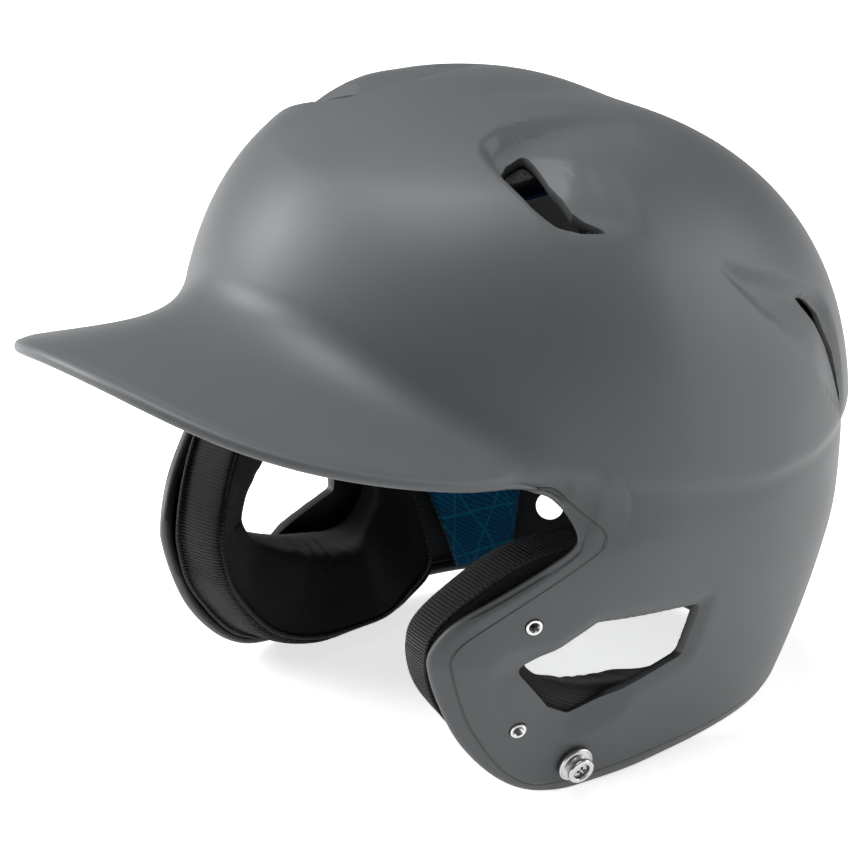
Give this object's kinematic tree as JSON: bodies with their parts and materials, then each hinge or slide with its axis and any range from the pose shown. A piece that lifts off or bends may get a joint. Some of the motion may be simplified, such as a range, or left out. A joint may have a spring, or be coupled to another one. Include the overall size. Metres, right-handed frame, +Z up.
{
  "type": "batting helmet",
  "caption": "Batting helmet with a bill, two ear flaps, vents, foam liner, fabric pads, removable jaw pads, guard nuts and chin strap snaps.",
  "frame": {"origin": "centre of the bounding box in plan, on the ground under the ear flaps and the nape edge", "axes": "+Z up towards the crown, the bill points to -Y, +X is the wearer's left"},
  "size_m": [0.2118, 0.2972, 0.217],
  "materials": {
    "shell_plastic": "matte",
    "impact_foam": "matte closed-cell foam",
    "jaw_fabric": "knitted cover over foam",
    "blue_fabric": "printed knit over foam",
    "hook_and_loop": "woven",
    "bright_steel": "bright",
    "zinc_plate": "zinc plated"
  },
  "bodies": {
    "shell": {"outer_shell": "shell_plastic", "front_foam": "impact_foam", "rear_foam": "impact_foam", "left_side_foam": "impact_foam", "right_side_foam": "impact_foam", "crown_foam": "impact_foam", "front_pad": "blue_fabric", "rear_pad": "blue_fabric", "crown_pad": "blue_fabric", "left_side_pad": "blue_fabric", "right_side_pad": "blue_fabric", "left_front_patch": "hook_and_loop", "left_rear_patch": "hook_and_loop", "right_front_patch": "hook_and_loop", "right_rear_patch": "hook_and_loop", "left_upper_guard_nut": "bright_steel", "left_lower_guard_nut": "bright_steel", "right_upper_guard_nut": "bright_steel", "right_lower_guard_nut": "bright_steel", "left_snap_stud": "bright_steel", "left_snap_screw": "zinc_plate", "left_snap_nut": "zinc_plate", "right_snap_stud": "bright_steel", "right_snap_screw": "zinc_plate", "right_snap_nut": "zinc_plate"},
    "left_jaw": {"left_jaw_pad": "jaw_fabric"},
    "right_jaw": {"right_jaw_pad": "jaw_fabric"}
  },
  "joints": [
    {"name": "left_jaw_pad_pull", "type": "slide", "parent": "shell", "child": "left_jaw", "axis": [-1, 0, 0], "range_m": [0, 0.03]},
    {"name": "right_jaw_pad_pull", "type": "slide", "parent": "shell", "child": "right_jaw", "axis": [1, 0, 0], "range_m": [0, 0.03]}
  ]
}
